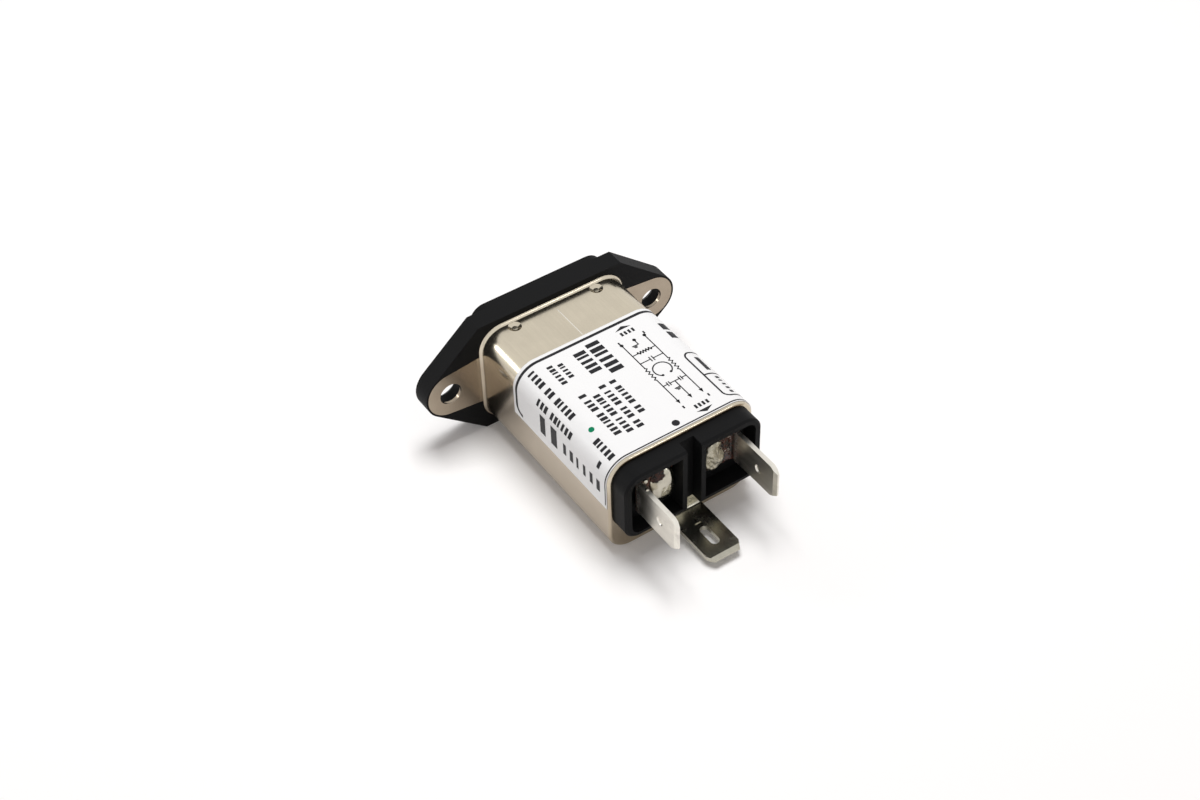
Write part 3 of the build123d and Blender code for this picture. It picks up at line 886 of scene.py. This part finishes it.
def solder_mound(name, paint, centre, half_sizes, height, dent, lumps, beads=()):
    """A mound on a foot, in millimetres: a rounded rectangle in plan and steep at its edge, with
    lumps, a dent (x, z, radius, depth) and beads of solder beside it (x, y, z, radius)."""
    rings, spokes = 26, 56
    squareness, steepness, fullness = 3, 2.6, 0.6
    calm_below, coarse, fine = 0.5, 0.9, 2.3
    dent_x, dent_z, dent_r, dent_depth = dent
    centre_x, base_y, centre_z = centre
    half_x, half_z = half_sizes
    mesh = bmesh.new()
    rows = []
    for ring in range(1, rings + 1):
        share = math.sin(0.5 * math.pi * ring / rings)
        row = []
        for spoke in range(spokes):
            angle = 2 * math.pi * spoke / spokes
            cos, sin = math.cos(angle), math.sin(angle)
            square = (abs(cos) ** squareness + abs(sin) ** squareness) ** (-1 / squareness)
            x = centre_x + half_x * share * square * cos
            z = centre_z + half_z * share * square * sin
            rise = height * max(0.0, 1.0 - share**steepness) ** fullness
            away = math.hypot(x - dent_x, z - dent_z) / dent_r
            free = min(1.0, rise / calm_below) ** 2
            rise -= dent_depth * math.exp(-away * away) * free
            wobble = noise.noise(Vector((x * coarse, z * coarse, centre_x)))
            wobble += 0.5 * noise.noise(Vector((x * fine, z * fine, centre_x + 7.0)))
            rise += lumps * wobble * free
            row.append(mesh.verts.new(Vector((x, base_y - max(rise, 0.0), z)) * MM))
        rows.append(row)
    top = mesh.verts.new(sum((v.co for v in rows[0]), Vector()) / spokes)
    for i in range(spokes):
        j = (i + 1) % spokes
        mesh.faces.new((top, rows[0][j], rows[0][i]))
        for inner, outer in zip(rows, rows[1:]):
            mesh.faces.new((inner[i], inner[j], outer[j], outer[i]))
    mesh.faces.new(rows[-1])
    for x, y, z, radius in beads:
        bmesh.ops.create_uvsphere(
            mesh,
            u_segments=16,
            v_segments=10,
            radius=radius * MM,
            matrix=Matrix.Translation(Vector((x, y, z)) * MM),
        )
    return finish_piece(name, mesh, paint, smooth=True)


# Studio


def camera_axes(azimuth, elevation, roll):
    """Unit vectors to the right of the camera, up from it and back to it."""
    back = Vector(
        (
            math.sin(azimuth) * math.cos(elevation),
            -math.cos(azimuth) * math.cos(elevation),
            math.sin(elevation),
        )
    )
    right = Vector((0, 0, 1)).cross(back).normalized()
    up = back.cross(right)
    turned_right = math.cos(roll) * right + math.sin(roll) * up
    turned_up = math.cos(roll) * up - math.sin(roll) * right
    return turned_right, turned_up, back


def add_camera(values):
    """The camera at the photograph's viewing angle and distance."""
    right, up, back = camera_axes(values.view_azimuth, values.view_elevation, values.view_roll)
    distance = values.view_distance
    across = (ORIGIN_X_PX - IMAGE_WIDTH_PX / 2) / FOCAL_PX * distance
    above = (IMAGE_HEIGHT_PX / 2 - ORIGIN_Y_PX) / FOCAL_PX * distance
    data = bpy.data.cameras.new("photo_camera")
    data.sensor_width = SENSOR_MM
    data.lens = FOCAL_PX / IMAGE_WIDTH_PX * SENSOR_MM
    data.clip_start = 0.01
    camera = bpy.data.objects.new("photo_camera", data)
    turn = Matrix((right, up, back)).transposed().to_4x4()
    camera.matrix_world = Matrix.Translation(distance * back - across * right - above * up) @ turn
    bpy.context.scene.collection.objects.link(camera)
    bpy.context.scene.camera = camera


def add_softbox(name, position, width, power, mirrored=True):
    """A soft area light that faces the body; a lamp that isn't mirrored leaves no glare on metal."""
    data = bpy.data.lights.new(name, "AREA")
    data.shape = "SQUARE"
    data.size = width
    data.energy = power
    lamp = bpy.data.objects.new(name, data)
    lamp.location = position
    lamp.rotation_euler = (LAMP_AIM - Vector(position)).to_track_quat("-Z", "Y").to_euler()
    lamp.visible_glossy = mirrored
    bpy.context.scene.collection.objects.link(lamp)


def add_floor(size):
    """A pale floor through the two edges that the filter rests on: the flange's and the can's."""
    flange_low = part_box("inlet_housing")[0].z
    can_low = -CAN_TOP * MM
    can_rear = CAN_LOW.y + 0.5 * MM
    slope = math.atan2(can_low - flange_low, -can_rear)
    mesh = bmesh.new()
    bmesh.ops.create_grid(mesh, x_segments=1, y_segments=1, size=size / 2)
    data = bpy.data.meshes.new("studio_floor")
    mesh.to_mesh(data)
    mesh.free()
    floor = bpy.data.objects.new("studio_floor", data)
    floor.location = (0.0, 0.0, flange_low)
    floor.rotation_euler = (-slope, 0.0, 0.0)
    data.materials.append(paint_floor().material)
    bpy.context.scene.collection.objects.link(floor)


def paint_floor():
    """Matt white that stays white to the camera, keeps its shadows, and shows nothing from below."""
    paint = Paint("studio_white", Roughness=0.9, Base_Color=(0.93, 0.925, 0.925, 1.0))
    lit = Sock(paint, paint.shader.outputs[0])
    glow = paint.node("ShaderNodeEmission", {}, {"Color": (1, 1, 1, 1), "Strength": 0.06})
    clear = paint.node("ShaderNodeBsdfTransparent", {}, {})
    lifted = paint.node("ShaderNodeAddShader", {}, {0: lit, 1: glow})
    shown = paint.node("ShaderNodeMixShader", {}, {0: paint.seen(), 1: lit, 2: lifted})
    below = paint.node("ShaderNodeNewGeometry", {}, {}, "Backfacing")
    sided = paint.node("ShaderNodeMixShader", {}, {0: below, 1: shown, 2: clear})
    paint.tree.links.new(sided.socket, paint.tree.nodes["Material Output"].inputs["Surface"])
    return paint


def add_world():
    """Even pale surroundings: white to the camera and in metal, softer as light."""
    world = bpy.data.worlds.new("studio_air")
    bpy.context.scene.world = world
    world.use_nodes = True
    graph = Graph(world.node_tree)
    air = {"Color": (1.0, 0.93, 0.9, 1.0), "Strength": 0.29}
    soft = graph.node("ShaderNodeBackground", {}, air)
    white = graph.node("ShaderNodeBackground", {}, {"Strength": 1.0, "Color": (1, 1, 1, 1)})
    shown = graph.node("ShaderNodeMixShader", {}, {0: graph.seen(), 1: soft, 2: white})
    graph.tree.links.new(shown.socket, graph.tree.nodes["World Output"].inputs["Surface"])


# Operators, one for each group of like pieces and one for the stage


class LINEFILTER_OT_plate_can(bpy.types.Operator):
    """Give the drawn can its nickel plate"""

    bl_idname = "linefilter.plate_can"
    bl_label = "Plate the Can"

    def execute(self, context):
        nickel = paint_nickel(settings().nickel)
        dress(nickel, "can")
        root_fillet(LIP_ROOT_R, nickel)
        return {"FINISHED"}


class LINEFILTER_OT_mould_plastics(bpy.types.Operator):
    """Give the inlet and the rear insulator their black moulded finish"""

    bl_idname = "linefilter.mould_plastics"
    bl_label = "Mould the Plastics"

    def execute(self, context):
        colour = settings().moulding
        inlet = paint_moulding("inlet_moulding", colour, grain_mm=0.018, roughness=0.5)
        dress(inlet, "inlet_housing")
        insulator = paint_moulding("insulator_moulding", colour, grain_mm=0.014, roughness=0.46)
        dress(insulator, "rear_insulator")
        return {"FINISHED"}


class LINEFILTER_OT_plate_contacts(bpy.types.Operator):
    """Give the pins, the terminals and the earth strap their plate"""

    bl_idname = "linefilter.plate_contacts"
    bl_label = "Plate the Contacts"

    def execute(self, context):
        values = settings()
        pin_plate = paint_tin("pin_plate", values.tin, roughness=0.14)
        dress(pin_plate, "line_pin", "neutral_pin", "earth_pin")
        foot_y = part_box("line_terminal")[1].y
        fluxed = paint_fluxed_tin(values.tin, values.flux, foot_y - 2.8 * MM, foot_y - 0.9 * MM)
        dress(fluxed, "line_terminal", "neutral_terminal")
        ground = paint_tin("ground_tin", GROUND_TIN, roughness=0.18)
        dress(ground, "ground_terminal", "earth_strap")
        return {"FINISHED"}


class LINEFILTER_OT_run_solder(bpy.types.Operator):
    """Run the solder and its flux over both feet"""

    bl_idname = "linefilter.run_solder"
    bl_label = "Run the Solder"

    def execute(self, context):
        flux = settings().flux
        foot_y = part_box("line_solder")[1].y / MM
        smooth = paint_solder(
            "solder_smooth",
            SMOOTH_SOLDER,
            frosting=0.2,
            lumps_mm=0.003,
            flux_colour=flux,
            flux_centre=(-6.0, 4.9),
            flux_size=(1.6, 1.45),
            flux_edge=1.6,
        )
        line_mound = solder_mound(
            "line_solder_mound",
            smooth,
            centre=(-4.65, foot_y, 2.0),
            half_sizes=(2.3, 3.35),
            height=1.35,
            dent=(-5.9, 4.4, 1.3, 0.6),
            lumps=0.05,
            beads=((-8.25, -38.5, 5.35, 0.45), (-9.2, -40.4, 5.4, 0.42)),
        )
        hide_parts("line_solder")
        rough = paint_solder(
            "solder_rough",
            ROUGH_SOLDER,
            frosting=0.6,
            lumps_mm=0.06,
            flux_colour=flux,
            flux_centre=(7.6, 4.1),
            flux_size=(1.1, 2.0),
            flux_edge=3.2,
        )
        neutral_mound = solder_mound(
            "neutral_solder_mound",
            rough,
            centre=(5.3, foot_y, 2.1),
            half_sizes=(2.0, 2.8),
            height=1.05,
            dent=(6.4, 3.6, 0.9, 0.5),
            lumps=0.25,
        )
        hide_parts("neutral_solder")
        return {"FINISHED"}


class LINEFILTER_OT_dress_label(bpy.types.Operator):
    """Finish the label film and lay its plain print on it"""

    bl_idname = "linefilter.dress_label"
    bl_label = "Dress the Label"

    def execute(self, context):
        values = settings()
        dress(paint_label(values.label_white), "label")
        ink = paint_ink("label_ink", values.ink)
        green = paint_ink("green_ink", values.green_dot)
        print_piece("label_border", ink, print_border, values.border_width)
        print_piece("label_circuit", ink, print_circuit, values.circuit_width)
        print_piece("label_marks", ink, print_marks)
        print_piece("label_side_frame", ink, print_side_frame, SIDE_FRAME_LINE)
        print_piece("label_green_dot", green, print_green_dot)
        return {"FINISHED"}


class LINEFILTER_OT_finish_inside(bpy.types.Operator):
    """Finish the choke, the capacitors, the wiring and the liner inside the can"""

    bl_idname = "linefilter.finish_inside"
    bl_label = "Finish the Inside"

    def execute(self, context):
        dress(paint_ferrite(), "choke_core")
        copper = paint_enamelled_copper()
        dress(copper, "line_winding", "neutral_winding", "line_lead", "neutral_lead")
        dress(copper, "line_post", "neutral_post")
        dress(paint_plain_plastic("spacer_nylon", (0.8, 0.78, 0.7), 0.4), "winding_spacer")
        dress(paint_plain_plastic("box_capacitor_case", (0.75, 0.55, 0.06), 0.28), "x_capacitor")
        blue = paint_lacquer("disc_lacquer", (0.04, 0.15, 0.45))
        dress(blue, "line_y_capacitor", "neutral_y_capacitor")
        dress(paint_lacquer("resistor_lacquer", (0.66, 0.55, 0.38)), "bleed_resistor")
        dress(paint_fish_paper(), "can_liner")
        return {"FINISHED"}


class LINEFILTER_OT_set_stage(bpy.types.Operator):
    """Set up the camera, the soft lights, the pale floor and the surroundings"""

    bl_idname = "linefilter.set_stage"
    bl_label = "Set the Stage"

    def execute(self, context):
        values = settings()
        add_camera(values)
        add_floor(values.floor_size)
        add_softbox("overhead_softbox", (0.05, 0.09, 0.6), width=0.3, power=3.15, mirrored=False)
        add_softbox("corner_softbox", (-0.35, 0.3, 0.2), width=0.1, power=0.2)
        add_softbox("rear_softbox", (0.23, -0.42, 0.34), width=0.06, power=0.1)
        add_world()
        bpy.context.scene.view_settings.view_transform = "Standard"
        return {"FINISHED"}


STEPS = (
    LINEFILTER_OT_plate_can,
    LINEFILTER_OT_mould_plastics,
    LINEFILTER_OT_plate_contacts,
    LINEFILTER_OT_run_solder,
    LINEFILTER_OT_dress_label,
    LINEFILTER_OT_finish_inside,
    LINEFILTER_OT_set_stage,
)


class LINEFILTER_PT_looks(bpy.types.Panel):
    """Lists the filter's settings and steps"""

    bl_idname = "LINEFILTER_PT_looks"
    bl_label = "Line Filter"
    bl_space_type = "VIEW_3D"
    bl_region_type = "UI"
    bl_category = "Line Filter"

    def draw(self, context):
        values = settings()
        for name in LineFilterSettings.__annotations__:
            self.layout.prop(values, name)
        for step in STEPS:
            self.layout.operator(step.bl_idname)


def register():
    """Adds the settings, the steps and the panel to Blender."""
    bpy.utils.register_class(LineFilterSettings)
    bpy.types.Scene.line_filter = bpy.props.PointerProperty(type=LineFilterSettings)
    for step in STEPS:
        bpy.utils.register_class(step)
    bpy.utils.register_class(LINEFILTER_PT_looks)


def unregister():
    """Takes the panel, the steps and the settings out again."""
    bpy.utils.unregister_class(LINEFILTER_PT_looks)
    for step in reversed(STEPS):
        bpy.utils.unregister_class(step)
    del bpy.types.Scene.line_filter
    bpy.utils.unregister_class(LineFilterSettings)


def main():
    """Runs every step in order."""
    register()
    bpy.ops.linefilter.plate_can()
    bpy.ops.linefilter.mould_plastics()
    bpy.ops.linefilter.plate_contacts()
    bpy.ops.linefilter.run_solder()
    bpy.ops.linefilter.dress_label()
    bpy.ops.linefilter.finish_inside()
    bpy.ops.linefilter.set_stage()


if __name__ == "__main__":
    main()
